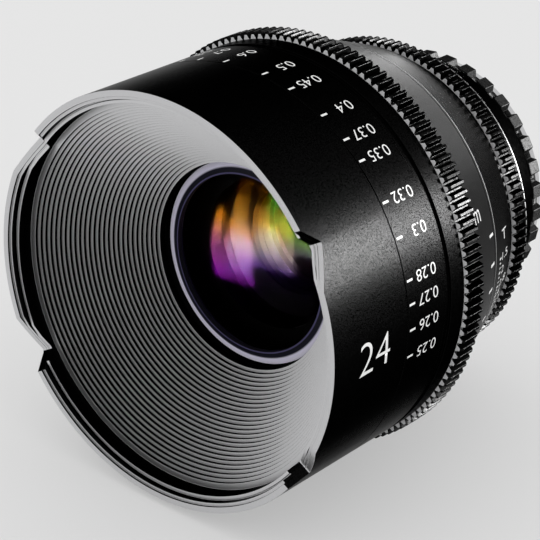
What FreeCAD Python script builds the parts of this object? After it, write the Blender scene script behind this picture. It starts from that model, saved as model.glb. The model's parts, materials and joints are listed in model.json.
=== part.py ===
"""Wide-angle cinema lens: 114 mm front, geared focus and iris rings, bayonet mount.

Every piece is first made about the z axis, with z as the depth behind the front rim, in
millimetres. Angles about the axis start at the index line on the lens's right side and grow
clockwise as seen from the front, so the top of the lens is at -90. The last section lays the
axis along Y with the mount's flange face at the origin and the top of the lens up.
"""
import FreeCAD, Part
import os
from collections import namedtuple
from math import asin, cos, degrees, pi, radians, sin, sqrt

Vector = FreeCAD.Vector
ORIGIN = Vector(0, 0, 0)
AXIS = Vector(0, 0, 1)

# Outside of the barrel
barrel_radius = 57.0
front_barrel_length = 29.6
focus_ring_length = 31.2
mid_barrel_length = 15.6
iris_ring_length = 21.9
iris_stop_width = 1.9
rear_band_length = 14.3
grip_ring_length = 4.4
mount_plate_thickness = 2.1
shim_thickness = 0.2
iris_stop_height = 6.502
rear_band_radius = 38.8
rear_chamfer_height = 0.9
rear_chamfer_length = 1.8

# Clearances
seam_gap = 0.2
running_gap = 0.1
pin_gap = 0.05
glass_gap = 0.04

# Walls, from the outside in
focus_ring_wall = 4.0
cam_sleeve_wall = 2.9
guide_barrel_wall = 3.5
carriage_wall = 2.4

# Front rim and its four notches, angles from the vertical
rim_width = 1.7
rim_step_depth = 0.6
front_bore_wall = 3.0
rim_thread_wall = 2.6
rim_thread_depth = 2.4
notch_start_angle = 51.3
notch_bottom_angle = 56.0
notch_end_angle = 67.2
notch_depth = 5.2
notch_corner_radius = 1.2
front_web_thickness = 3.6

# Ribbed baffle
baffle_collar_front = 2.0
baffle_collar_wall = 0.9
baffle_seat_depth = 9.0
baffle_seat_ledge = 1.0
rib_count = 27
rib_first_depth = 6.5
rib_step_depth = 0.985
baffle_bezel_gap = 0.288
rib_ledge = 0.9
baffle_wall = 1.6
baffle_tail_length = 1.2

# Geared rings
gear_module = 0.8
addendum_modules = 1.0
dedendum_modules = 1.25
tooth_root_share = 0.78
tooth_tip_share = 0.3
gear_tip_chamfer = 0.6
focus_gear_width = 6.9
focus_gear_rim = 1.6
iris_gear_width = 5.3
iris_gear_rim = 1.0
iris_gear_inset = 1.5
iris_relief_width = 2.9
iris_relief_inset = 1.6
ring_groove_front = 15.9
ring_groove_width = 2.6
ring_groove_depth = 0.7

# Focus drive
near_turn = 5.6
infinity_turn = 155.4
focus_stroke = 6.0
follower_count = 3
follower_first_angle = 30.0
roller_radius = 1.25
stud_radius = 0.7
roller_reach = 0.5
stop_pin_radius = 0.7
stop_pin_wall = 2.3
stop_pin_length = 2.8
stop_pin_seat = 1.4
stop_pin_angle = 70.0
stop_groove_width = 1.6
stop_groove_depth = 1.6

# Iris
open_turn = 2.9
closed_turn = 31.4
blade_count = 11
blade_ratio = 0.875
blade_open_swing = 2.2
blade_inner_radius = 16.0
blade_width = 8.0
blade_sweep = 115.0
blade_thickness = 0.12
blade_pitch = 0.2
blade_pivot_radius = 27.0
blade_pad_radius = 1.9
blade_ear_length = 7.0
blade_ear_radius = 1.3
blade_pin_radius = 0.6
base_plate_bore_radius = 16.5
base_plate_thickness = 1.5
base_plate_rim = 1.5
blade_space = 0.3
drive_ring_thickness = 1.2
drive_ring_lip = 1.098
drive_pin_radius = 0.5
drive_pin_angle = 60.0
drive_pin_depth_in_ring = 2.5
iris_clearance = 4.2
iris_lock_ring_width = 4.0
iris_lock_ring_thickness = 1.8

# Fixed rear barrel
iris_ring_wall = 1.0
iris_bore_wall = 3.3
barrel_flange_thickness = 2.7
mid_lip_thickness = 2.1
mid_lip_width = 4.5
mid_lip_gap = 2.198
mid_line_offset = 1.4
mid_line_width = 0.25
iris_shoulder_width = 3.5
rear_barrel_wall = 2.8
rear_lip_width = 3.0
rear_lip_thickness = 2.5
rear_lip_depth = 3.6

# Grip ring
grip_block_count = 34
grip_proud = 0.4
grip_block_height = 1.8
grip_block_root_share = 0.72
grip_block_tip_share = 0.5
grip_edge_bevel = 0.2
grip_floor_wall = 1.2

# Mount: three-lug bayonet
mount_edge_inset = 1.9
mount_bore_radius = 22.5
spigot_radius = 25.6
spigot_length = 5.5
lug_radius = 27.0
lug_count = 3
lug_sweep = 50.0
lug_offset = 2.6
lug_thickness = 1.8
lock_hole_radius = 1.3
lock_hole_circle = 30.2
lock_hole_depth = 1.5
mask_thickness = 1.2
mask_inset = 1.2
mask_window_width = 30.0
mask_window_height = 20.0

# Cells, rings and screws
cell_wall = 2.6
cell_body_wall = 6.5
second_seat_width = 3.0
front_spacer_inset = 0.4
bezel_overlap = 1.0
cell_flange_thickness = 3.0
cell_seat_lip = 2.0
cell_tail = 2.2
lock_ring_thickness = 2.5
lock_ring_width = 6.5
retainer_width = 1.6
retainer_thickness = 2.2
bezel_radius = 28.8
bezel_inner_radius = 25.0
bezel_front_offset = 1.7
bezel_rise = 1.0
carriage_length = 21.5
carriage_web_thickness = 2.5
carriage_front_reach = 17.5
carriage_clearance = 1.1
roller_depth_in_carriage = 5.0
cam_lock_thickness = 2.0
guide_flange_thickness = 2.0
flange_screw_count = 6
flange_screw_radius = 1.0
flange_screw_length = 4.0
screw_head_ratio = 1.9
screw_head_height = 1.3
screw_socket_ratio = 0.75
barrel_screw_radius = 0.8
barrel_screw_length = 8.5
mount_screw_count = 4
mount_screw_radius = 0.9
mount_screw_length = 6.5

# Optics: a positive radius of curvature has its centre behind the surface. The clear radius
# is where a hollow surface ends in a flat seat.
Element = namedtuple("Element", "vertex thickness front rear rim clear")
front_dome_rise = 6.3
front_air_gap = 9.5
second_air_gap = 8.5
focus_vertex_inset = 1.0
focus_air_gap = 2.0
iris_air_gap = 4.6
rear_air_gap = 0.8
last_air_gap = 2.0

# Stations along the depth
focus_ring_front = front_barrel_length + seam_gap
focus_ring_rear = focus_ring_front + focus_ring_length
mid_front = focus_ring_rear + seam_gap
mid_rear = mid_front + mid_barrel_length
iris_ring_front = mid_rear + seam_gap
iris_ring_rear = iris_ring_front + iris_ring_length
iris_stop_front = iris_ring_rear + seam_gap
rear_band_front = iris_stop_front + iris_stop_width
rear_band_rear = rear_band_front + rear_band_length
grip_rear = rear_band_rear + grip_ring_length
shim_rear = grip_rear + shim_thickness
flange_depth = shim_rear + mount_plate_thickness
guide_rear = mid_rear - mid_lip_thickness - barrel_flange_thickness
flange_rear = mid_rear - mid_lip_thickness

# Radii that follow from the walls and clearances
front_bore_radius = barrel_radius - front_bore_wall
ledge_bore_radius = front_bore_radius - baffle_seat_ledge
focus_bore_radius = barrel_radius - focus_ring_wall
cam_bore_radius = focus_bore_radius - cam_sleeve_wall
guide_radius = cam_bore_radius - running_gap
guide_bore_radius = guide_radius - guide_barrel_wall
carriage_radius = guide_bore_radius - running_gap
carriage_bore_radius = carriage_radius - carriage_wall
tooth_height = gear_module * (addendum_modules + dedendum_modules)
iris_seat_radius = guide_radius - mid_lip_width - mid_lip_gap
iris_gear_seat_radius = iris_seat_radius + running_gap + iris_ring_wall
iris_gear_root_radius = iris_gear_seat_radius + iris_gear_rim
cone_end_radius = iris_gear_root_radius + iris_gear_inset
cone_end_depth = iris_ring_rear - iris_gear_width - iris_relief_width
taper_per_mm = (barrel_radius - cone_end_radius) / (cone_end_depth - focus_ring_rear)
iris_relief_radius = cone_end_radius - iris_relief_inset
iris_bore_radius = iris_seat_radius - iris_bore_wall
drive_ring_radius = iris_bore_radius - running_gap
rear_chamfer_radius = rear_band_radius - rear_chamfer_height
grip_radius = rear_chamfer_radius + grip_proud
grip_floor_radius = grip_radius - grip_block_height
grip_seat_radius = grip_floor_radius - grip_floor_wall
rear_bore_radius = grip_seat_radius - rear_barrel_wall
mount_radius = rear_chamfer_radius - mount_edge_inset
guide_screw_circle = (guide_radius + ledge_bore_radius) / 2
barrel_screw_circle = guide_radius - guide_barrel_wall / 2
mount_screw_circle = (rear_bore_radius + grip_seat_radius) / 2
stop_pin_circle = barrel_radius - stop_pin_wall

# Places along the baffle and the front cell
rib_last_depth = rib_first_depth + rib_count * rib_step_depth
rib_first_radius = front_bore_radius - baffle_collar_wall - rib_ledge
rib_last_radius = bezel_radius + baffle_bezel_gap
rib_step_width = (rib_first_radius - rib_last_radius) / rib_count
cell_front = rib_last_depth + baffle_tail_length
cell_flange_rear = cell_front + cell_flange_thickness


def sag(curvature_radius, height):
    """Depth of a spherical surface at a height off the axis, measured from its vertex."""
    reach = sqrt(curvature_radius ** 2 - height ** 2)
    return curvature_radius - reach if curvature_radius > 0 else curvature_radius + reach


def front_height(element):
    """Radius at which the element's front surface ends."""
    return element.rim if element.front > 0 else element.clear


def rear_height(element):
    """Radius at which the element's rear surface ends."""
    return element.rim if element.rear < 0 else element.clear


def front_edge(element):
    """Depth of the element's rim at the front."""
    return element.vertex + sag(element.front, front_height(element))


def rear_edge(element):
    """Depth of the element's rim at the rear."""
    return element.vertex + element.thickness + sag(element.rear, rear_height(element))


def front_surface(element, height):
    """Depth of the element's front surface at a height off the axis."""
    return element.vertex + sag(element.front, height)


def rear_surface(element, height):
    """Depth of the element's rear surface at a height off the axis."""
    return element.vertex + element.thickness + sag(element.rear, height)


def rear_vertex(element):
    """Depth of the middle of the element's rear surface."""
    return element.vertex + element.thickness


# Front group, fixed
first = Element(vertex=cell_front - front_dome_rise, thickness=3.5, front=40.0, rear=24.0,
                rim=27.5, clear=21.0)
second = Element(vertex=rear_vertex(first) + front_air_gap, thickness=2.5, front=60.0, rear=22.0,
                 rim=23.5, clear=17.0)
third = Element(vertex=rear_vertex(second) + second_air_gap, thickness=6.5, front=45.0, rear=-120.0,
                rim=17.0, clear=15.0)
front_cell_rear = rear_edge(third) + cell_tail

# Focus group, on the sliding carriage
stroke_per_degree = focus_stroke / (near_turn + infinity_turn)
web_front = front_cell_rear + near_turn * stroke_per_degree + carriage_clearance
focus_rim = 18.0
focus_clear = focus_rim - retainer_width
cemented_radius = 45.0
fourth = Element(vertex=web_front + focus_vertex_inset, thickness=6.0, front=70.0, rear=-70.0,
                 rim=focus_rim, clear=focus_clear)
fifth = Element(vertex=rear_vertex(fourth) + focus_air_gap, thickness=2.0, front=-60.0,
                rear=cemented_radius, rim=focus_rim, clear=focus_clear)
sixth = Element(vertex=rear_vertex(fifth), thickness=7.0, front=cemented_radius, rear=-80.0,
                rim=focus_rim, clear=focus_clear)
carriage_front = web_front - carriage_front_reach
carriage_rear = carriage_front + carriage_length
carriage_cell_rear = rear_edge(sixth) + cell_tail
roller_depth = carriage_front + roller_depth_in_carriage

# Iris planes
drive_ring_front = carriage_cell_rear + infinity_turn * stroke_per_degree + iris_clearance
drive_ring_rear = drive_ring_front + drive_ring_thickness
drive_pin_depth = (drive_ring_front + drive_ring_rear) / 2
blade_front = drive_ring_rear + blade_space
blade_rear = blade_front + (blade_count - 1) * blade_pitch + blade_thickness
base_front = blade_rear + blade_space
base_rear = base_front + base_plate_thickness
rear_lip_front = base_rear + rear_lip_depth
rear_lip_rear = rear_lip_front + rear_lip_thickness

# Rear group, fixed
rear_rim = 18.0
rear_clear = rear_rim - retainer_width
rear_cemented_radius = 40.0
seventh = Element(vertex=base_rear + iris_air_gap, thickness=2.0, front=-60.0, rear=rear_cemented_radius,
                  rim=rear_rim, clear=rear_clear)
eighth = Element(vertex=rear_vertex(seventh), thickness=8.0, front=rear_cemented_radius, rear=-60.0,
                 rim=rear_rim, clear=rear_clear)
ninth = Element(vertex=rear_vertex(eighth) + rear_air_gap, thickness=5.5, front=90.0, rear=-55.0,
                rim=rear_rim, clear=rear_clear)
tenth = Element(vertex=rear_vertex(ninth) + last_air_gap, thickness=2.0, front=-50.0, rear=-90.0,
                rim=rear_rim, clear=rear_clear)
rear_cell_rear = rear_edge(tenth) + cell_tail


def turned(outline):
    """Solid turned about the axis from (radius, depth) points."""
    points = [Vector(radius, 0, depth) for radius, depth in outline]
    return Part.Face(Part.makePolygon(points + points[:1])).revolve(ORIGIN, AXIS, 360)


def tube(outer, inner, front, rear):
    """Plain round tube between two depths."""
    return turned([(inner, front), (outer, front), (outer, rear), (inner, rear)])


def sector(outer, inner, front, rear, start, sweep):
    """Part of a tube over an angle, in degrees about the axis."""
    points = [Vector(inner, 0, front), Vector(outer, 0, front),
              Vector(outer, 0, rear), Vector(inner, 0, rear)]
    face = Part.Face(Part.makePolygon(points + points[:1]))
    face.rotate(ORIGIN, AXIS, start)
    return face.revolve(ORIGIN, AXIS, sweep)


def polar(radius, angle, depth=0.0):
    """Point at a radius and an angle about the axis."""
    return Vector(radius * cos(radians(angle)), radius * sin(radians(angle)), depth)


def drilled(radius, front, rear, circle, angle):
    """Round bar along the axis direction, on a circle about the axis."""
    return Part.makeCylinder(radius, rear - front, polar(circle, angle, front), AXIS)


def radial_bar(radius, inner, outer, angle, depth):
    """Round bar that points straight out from the axis."""
    return Part.makeCylinder(radius, outer - inner, polar(inner, angle, depth), polar(1, angle))


def at_angles(shape, count, first_angle=0.0):
    """Copies of a shape spaced evenly about the axis."""
    copies = []
    for index in range(count):
        copy = shape.copy()
        copy.rotate(ORIGIN, AXIS, first_angle + index * 360.0 / count)
        copies.append(copy)
    return copies


def screw_room(count, radius, length, circle, head_end, first_angle=0.0, facing=1):
    """The round spaces that screws on a circle fill. facing is 1 for heads at the rear, else -1."""
    head = Part.makeCylinder(radius * screw_head_ratio, screw_head_height, Vector(circle, 0, 0), AXIS)
    shank = Part.makeCylinder(radius, length, Vector(circle, 0, -length), AXIS)
    room = head.fuse(shank).removeSplitter()
    if facing < 0:
        room.rotate(Vector(circle, 0, 0), Vector(1, 0, 0), 180)
    room.translate(Vector(0, 0, head_end - facing * screw_head_height))
    return at_angles(room, count, first_angle)


def screws(count, radius, length, circle, head_end, first_angle=0.0, facing=1):
    """Screws that fill those spaces, with a hexagonal socket half as deep as the head."""
    low = min(head_end, head_end - facing * screw_head_height / 2)
    socket = hex_bar(radius * screw_socket_ratio, low, low + screw_head_height / 2, circle)
    sockets = at_angles(socket, count, first_angle)
    rooms = screw_room(count, radius, length, circle, head_end, first_angle, facing)
    return [room.cut(hollow) for room, hollow in zip(rooms, sockets)]


def hex_bar(half_width, low, high, circle):
    """Hexagonal bar on a circle about the axis."""
    corner = half_width / cos(pi / 6)
    points = [Vector(circle, 0, low) + polar(corner, 60 * side) for side in range(7)]
    return Part.Face(Part.makePolygon(points)).extrude(Vector(0, 0, high - low))


def toothed_outline(root, tip, count, root_share, tip_share, depth):
    """Closed outline of a toothed ring. The shares are parts of one tooth's pitch."""
    pitch = 360.0 / count
    points = []
    for index in range(count):
        middle = index * pitch
        points.append(polar(root, middle - root_share * pitch / 2, depth))
        points.append(polar(tip, middle - tip_share * pitch / 2, depth))
        points.append(polar(tip, middle + tip_share * pitch / 2, depth))
        points.append(polar(root, middle + root_share * pitch / 2, depth))
    return Part.makePolygon(points + points[:1])


def toothed_ring(root, tip, bore, count, shares, front, rear, chamfer):
    """Toothed ring whose tips are bevelled at both ends."""
    levels = [(tip - chamfer, front), (tip, front + chamfer), (tip, rear - chamfer), (tip - chamfer, rear)]
    outlines = [toothed_outline(root, radius, count, *shares, depth) for radius, depth in levels]
    body = Part.makeLoft(outlines, True, True)
    return body.cut(Part.makeCylinder(bore, rear - front, Vector(0, 0, front), AXIS))


def gear(root, rim, front, rear):
    """Drive gear of the lens's module, with as many teeth as its root circle holds."""
    count = round(2 * (root / gear_module + dedendum_modules))
    return toothed_ring(root, root + tooth_height, root - rim, count, (tooth_root_share, tooth_tip_share),
                        front, rear, gear_tip_chamfer)


def lens(element):
    """Glass element with its two spherical surfaces and ground rim."""
    edges = []
    top = front_height(element)
    bottom = rear_height(element)
    front_points = [Vector(height, 0, front_surface(element, height)) for height in (0, top / 2, top)]
    rear_points = [Vector(height, 0, rear_surface(element, height)) for height in (bottom, bottom / 2, 0)]
    edges.append(Part.Arc(*front_points).toShape())
    corners = [front_points[-1]]
    for corner in (Vector(element.rim, 0, front_edge(element)), Vector(element.rim, 0, rear_edge(element)),
                   rear_points[0]):
        if corner.distanceToPoint(corners[-1]) > 0.001:
            corners.append(corner)
    for start, end in zip(corners, corners[1:]):
        edges.append(Part.LineSegment(start, end).toShape())
    edges.append(Part.Arc(*rear_points).toShape())
    edges.append(Part.LineSegment(rear_points[-1], front_points[0]).toShape())
    return Part.Face(Part.Wire(edges)).revolve(ORIGIN, AXIS, 360)


def retainer(element, inner_step=retainer_width):
    """Threaded ring that holds an element from behind."""
    inner = element.rim - inner_step
    seat = rear_surface(element, inner) if element.rear < 0 else rear_edge(element)
    return turned([(inner, seat + glass_gap), (element.rim, rear_edge(element) + glass_gap),
                   (element.rim, rear_edge(element) + retainer_thickness),
                   (inner, rear_edge(element) + retainer_thickness)])


def spacer(ahead, behind):
    """Ring between the rims of two elements of one bore."""
    inner = ahead.rim - retainer_width
    ahead_inner = rear_surface(ahead, inner) if ahead.rear < 0 else rear_edge(ahead)
    behind_inner = front_surface(behind, inner) if behind.front > 0 else front_edge(behind)
    return turned([(inner, ahead_inner + glass_gap), (ahead.rim, rear_edge(ahead) + glass_gap),
                   (ahead.rim, front_edge(behind) - glass_gap), (inner, behind_inner - glass_gap)])


# Front barrel: notched rim, thread, seat for the baffle and a web over the guide barrel
def notch_cutter(side):
    """Milling cut through the rim, with a steep and a shallow flank."""
    middle = (notch_start_angle + notch_end_angle) / 2
    start, bottom, end = [side * barrel_radius * sin(radians(angle - middle))
                          for angle in (notch_start_angle, notch_bottom_angle, notch_end_angle)]
    lead = 1.0
    inner = front_bore_radius - baffle_collar_wall - rib_ledge
    points = [Vector(inner, start - (bottom - start) * lead / notch_depth, -lead),
              Vector(inner, bottom, notch_depth),
              Vector(inner, end - (bottom - end) * lead / notch_depth, -lead)]
    reach = barrel_radius - inner + lead
    cutter = Part.Face(Part.makePolygon(points + points[:1])).extrude(Vector(reach, 0, 0))
    for edge in cutter.Edges:
        on_bottom = all(abs(vertex.Z - notch_depth) < 0.001 for vertex in edge.Vertexes)
        if on_bottom:
            return cutter.makeFillet(notch_corner_radius, [edge]), middle
    return cutter, middle


def notch_cutters():
    """The four cuts, mirrored left to right and top to bottom."""
    cutters = []
    for upright, side in ((-90, 1), (-90, -1), (90, 1), (90, -1)):
        cutter, middle = notch_cutter(side)
        cutter.rotate(ORIGIN, AXIS, upright + side * middle)
        cutters.append(cutter)
    return cutters


def front_barrel():
    web_front = front_barrel_length - front_web_thickness
    thread_radius = barrel_radius - rim_thread_wall
    outline = [(barrel_radius, 0), (barrel_radius, front_barrel_length), (guide_radius, front_barrel_length),
               (guide_radius, web_front), (ledge_bore_radius, web_front),
               (ledge_bore_radius, baffle_seat_depth), (front_bore_radius, baffle_seat_depth),
               (front_bore_radius, rim_thread_depth), (thread_radius, rim_thread_depth),
               (thread_radius, rim_step_depth), (barrel_radius - rim_width, rim_step_depth),
               (barrel_radius - rim_width, 0)]
    shell = turned(outline).cut(notch_cutters())
    shell = shell.cut(guide_screw_room())
    return shell.cut(stop_pin())


# Ribbed baffle: a stepped funnel that stops stray light
def ribbed_baffle():
    collar_bore = front_bore_radius - baffle_collar_wall
    steps_before_seat = (baffle_seat_depth - rib_first_depth) / rib_step_depth
    seat_radius = rib_first_radius - steps_before_seat * rib_step_width + baffle_wall
    outline = [(collar_bore, baffle_collar_front), (front_bore_radius, baffle_collar_front),
               (front_bore_radius, baffle_seat_depth), (seat_radius, baffle_seat_depth),
               (rib_last_radius + baffle_wall, rib_last_depth), (rib_last_radius + baffle_wall, cell_front),
               (rib_last_radius, cell_front)]
    for index in reversed(range(rib_count)):
        depth = rib_first_depth + index * rib_step_depth
        outline.append((rib_first_radius - (index + 1) * rib_step_width, depth))
        outline.append((rib_first_radius - index * rib_step_width, depth))
    outline.append((collar_bore, rib_first_depth))
    return turned(outline).cut(notch_cutters())


# Front group: cell, three elements, their rings and the bezel
def front_cell():
    bezel_seat = front_surface(first, first.rim) - glass_gap
    lip_inner = third.rim - retainer_width
    lip_rear = front_surface(third, lip_inner) - glass_gap
    second_pocket = second.rim - second_seat_width
    body_radius = first.rim + cell_body_wall
    neck_radius = second.rim + cell_wall
    neck_front = rear_edge(first) + cell_wall
    outline = [(bezel_radius, cell_front), (guide_bore_radius, cell_front),
               (guide_bore_radius, cell_flange_rear), (body_radius, cell_flange_rear),
               (body_radius, neck_front), (neck_radius, neck_front), (neck_radius, front_cell_rear),
               (third.rim, front_cell_rear), (third.rim, lip_rear), (lip_inner, lip_rear),
               (second_pocket, rear_edge(second) + glass_gap), (second.rim, rear_edge(second) + glass_gap),
               (second.rim, rear_edge(first) + glass_gap), (first.rim, rear_edge(first) + glass_gap),
               (first.rim, bezel_seat), (bezel_radius, bezel_seat)]
    return turned(outline)


def front_retaining_ring():
    inner_seat = front_surface(first, bezel_inner_radius) - glass_gap
    outer_seat = front_surface(first, first.rim - bezel_overlap) - glass_gap
    front = cell_front + bezel_front_offset
    return turned([(bezel_radius, front), (bezel_radius, outer_seat), (first.rim - bezel_overlap, outer_seat),
                   (bezel_inner_radius, inner_seat), (bezel_inner_radius, front - bezel_rise)])


def front_spacer():
    inner = first.clear + front_spacer_inset
    behind_inner = front_surface(second, inner) - glass_gap
    return turned([(inner, rear_edge(first) + glass_gap), (second.rim, rear_edge(first) + glass_gap),
                   (second.rim, front_edge(second) - glass_gap), (inner, behind_inner)])


def front_cell_lock_ring():
    return tube(guide_bore_radius, guide_bore_radius - lock_ring_width, cell_front - lock_ring_thickness,
                cell_front)


# Guide barrel: the fixed tube inside the focus ring, with three straight slots
def guide_screw_room():
    flange_front = front_barrel_length - front_web_thickness - guide_flange_thickness
    return screw_room(flange_screw_count, flange_screw_radius, flange_screw_length, guide_screw_circle,
                      flange_front - screw_head_height, facing=-1)


def guide_barrel_screws():
    flange_front = front_barrel_length - front_web_thickness - guide_flange_thickness
    return screws(flange_screw_count, flange_screw_radius, flange_screw_length, guide_screw_circle,
                  flange_front - screw_head_height, facing=-1)


def guide_slots():
    """Straight slots that let the followers slide but not turn."""
    half = roller_radius + pin_gap
    front = roller_depth - near_turn * stroke_per_degree
    rear = roller_depth + infinity_turn * stroke_per_degree
    reach = guide_barrel_wall + 2 * running_gap
    slot = Part.makeBox(reach, 2 * half, rear - front, Vector(guide_bore_radius - running_gap, -half, front))
    for depth in (front, rear):
        slot = slot.fuse(radial_bar(half, guide_bore_radius - running_gap, guide_radius + running_gap, 0, depth))
    return at_angles(slot, follower_count, follower_first_angle)


def guide_barrel():
    flange_front = front_barrel_length - front_web_thickness - guide_flange_thickness
    flange_rear_face = flange_front + guide_flange_thickness
    lip_rear = cell_flange_rear + cell_seat_lip
    outline = [(guide_bore_radius, flange_front), (ledge_bore_radius - running_gap, flange_front),
               (ledge_bore_radius - running_gap, flange_rear_face), (guide_radius, flange_rear_face),
               (guide_radius, guide_rear), (guide_bore_radius, guide_rear), (guide_bore_radius, lip_rear),
               (guide_bore_radius - cell_seat_lip, lip_rear),
               (guide_bore_radius - cell_seat_lip, cell_flange_rear), (guide_bore_radius, cell_flange_rear)]
    barrel = turned(outline).cut(guide_slots())
    return barrel.cut(guide_screw_room() + barrel_screw_room())


# Focus ring, its gear, cam sleeve and stop
def stop_pin():
    return drilled(stop_pin_radius, front_barrel_length - stop_pin_seat,
                   front_barrel_length - stop_pin_seat + stop_pin_length, stop_pin_circle, stop_pin_angle)


def focus_ring():
    gear_front = focus_ring_rear - focus_gear_width
    gear_seat = barrel_radius - focus_gear_rim
    groove_front = focus_ring_front + ring_groove_front
    groove_rear = groove_front + ring_groove_width
    groove_floor = barrel_radius - ring_groove_depth
    outline = [(focus_bore_radius, focus_ring_front), (barrel_radius, focus_ring_front),
               (barrel_radius, groove_front), (groove_floor, groove_front), (groove_floor, groove_rear),
               (barrel_radius, groove_rear), (barrel_radius, gear_front), (gear_seat, gear_front),
               (gear_seat, focus_ring_rear), (focus_bore_radius, focus_ring_rear)]
    margin = degrees(asin((stop_pin_radius + pin_gap) / stop_pin_circle))
    start = stop_pin_angle - infinity_turn - margin
    sweep = near_turn + infinity_turn + 2 * margin
    groove = sector(stop_pin_circle + stop_groove_width / 2, stop_pin_circle - stop_groove_width / 2,
                    focus_ring_front, focus_ring_front + stop_groove_depth, start, sweep)
    return turned(outline).cut(groove)


def focus_gear():
    return gear(barrel_radius, focus_gear_rim, focus_ring_rear - focus_gear_width, focus_ring_rear)


def cam_slots():
    """Helical slots: the groove falls back as the angle falls, at the focus stroke's rate."""
    half = roller_radius + pin_gap
    middle_radius = (cam_bore_radius + focus_bore_radius) / 2
    half_wall = cam_sleeve_wall / 2 + running_gap
    turn = near_turn + infinity_turn
    pitch = stroke_per_degree * 360
    path = Part.Wire(Part.makeHelix(pitch, focus_stroke, middle_radius).Edges)
    section = [Vector(middle_radius - half_wall, 0, -half), Vector(middle_radius + half_wall, 0, -half),
               Vector(middle_radius + half_wall, 0, half), Vector(middle_radius - half_wall, 0, half)]
    slot = path.makePipeShell([Part.makePolygon(section + section[:1])], True, True)
    inner = middle_radius - half_wall
    outer = middle_radius + half_wall
    slot = slot.fuse([radial_bar(half, inner, outer, 0, 0), radial_bar(half, inner, outer, turn, focus_stroke)])
    slot = slot.mirror(ORIGIN, Vector(0, 1, 0))
    slot.rotate(ORIGIN, AXIS, near_turn)
    slot.translate(Vector(0, 0, roller_depth - near_turn * stroke_per_degree))
    return at_angles(slot, follower_count, follower_first_angle)


def cam_sleeve():
    sleeve = tube(focus_bore_radius, cam_bore_radius, focus_ring_front + cam_lock_thickness,
                  focus_ring_rear - cam_lock_thickness)
    return sleeve.cut(cam_slots())


def cam_lock_ring():
    return tube(focus_bore_radius, cam_bore_radius + running_gap, focus_ring_rear - cam_lock_thickness,
                focus_ring_rear)


# Focus carriage: slides in the guide barrel and holds the focus group
def stud_holes():
    return [radial_bar(stud_radius, carriage_bore_radius, carriage_radius, angle, roller_depth)
            for angle in follower_angles()]


def follower_angles():
    return [follower_first_angle + index * 360.0 / follower_count for index in range(follower_count)]


def focus_carriage():
    lip_inner = fourth.rim - retainer_width
    lip_rear = front_surface(fourth, lip_inner) - glass_gap
    cell_radius = fourth.rim + cell_wall
    web_rear = web_front + carriage_web_thickness
    outline = [(carriage_bore_radius, carriage_front), (carriage_radius, carriage_front),
               (carriage_radius, carriage_rear), (carriage_bore_radius, carriage_rear),
               (carriage_bore_radius, web_rear), (cell_radius, web_rear), (cell_radius, carriage_cell_rear),
               (fourth.rim, carriage_cell_rear), (fourth.rim, lip_rear), (lip_inner, lip_rear),
               (lip_inner, web_front), (carriage_bore_radius, web_front)]
    return turned(outline).cut(stud_holes())


def follower_studs():
    outer = focus_bore_radius - roller_reach
    return [radial_bar(stud_radius, carriage_bore_radius, outer, angle, roller_depth)
            for angle in follower_angles()]


def follower_rollers():
    inner = carriage_radius + pin_gap
    outer = focus_bore_radius - roller_reach
    rollers = []
    for angle in follower_angles():
        roller = radial_bar(roller_radius, inner, outer, angle, roller_depth)
        rollers.append(roller.cut(radial_bar(stud_radius, inner, outer, angle, roller_depth)))
    return rollers


# Mid barrel: the fixed cone behind the focus gear
def taper(depth):
    """Outer radius of the cone that runs from the focus gear to the iris gear."""
    return barrel_radius - taper_per_mm * (depth - focus_ring_rear)


def barrel_screw_room():
    return screw_room(flange_screw_count, barrel_screw_radius, barrel_screw_length, barrel_screw_circle,
                      mid_rear)


def barrel_screws():
    return screws(flange_screw_count, barrel_screw_radius, barrel_screw_length, barrel_screw_circle, mid_rear)


def mid_barrel():
    line_rear = mid_rear - mid_line_offset
    line_front = line_rear - mid_line_width
    line_floor = taper(line_rear) - mid_line_width
    outline = [(guide_radius, mid_front), (taper(mid_front), mid_front), (taper(line_front), line_front),
               (line_floor, line_front), (line_floor, line_rear), (taper(line_rear), line_rear),
               (taper(mid_rear), mid_rear), (guide_radius - mid_lip_width, mid_rear),
               (guide_radius - mid_lip_width, flange_rear), (guide_radius, flange_rear)]
    return turned(outline).cut(barrel_screw_room())


# Rear barrel: carries the iris ring, the iris and the rear cell
def rear_barrel():
    shoulder_radius = iris_bore_radius - iris_shoulder_width
    outline = [(iris_bore_radius, guide_rear), (guide_radius, guide_rear), (guide_radius, flange_rear),
               (iris_seat_radius, flange_rear), (iris_seat_radius, iris_stop_front),
               (rear_band_radius, iris_stop_front), (rear_band_radius, rear_band_rear - rear_chamfer_length),
               (rear_chamfer_radius, rear_band_rear), (grip_seat_radius, rear_band_rear),
               (grip_seat_radius, grip_rear), (rear_bore_radius, grip_rear),
               (rear_bore_radius, rear_lip_rear), (rear_bore_radius - rear_lip_width, rear_lip_rear),
               (rear_bore_radius - rear_lip_width, rear_lip_front), (shoulder_radius, rear_lip_front),
               (shoulder_radius, base_rear), (iris_bore_radius, base_rear)]
    body = turned(outline).cut(barrel_screw_room())
    body = body.cut(mount_screw_room())
    half = drive_pin_radius + pin_gap
    margin = degrees(asin(half / iris_bore_radius))
    slot = sector(iris_seat_radius + running_gap, iris_bore_radius - running_gap,
                  drive_pin_depth - half, drive_pin_depth + half, drive_pin_angle - closed_turn - margin,
                  open_turn + closed_turn + 2 * margin)
    return body.cut(slot)


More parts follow.
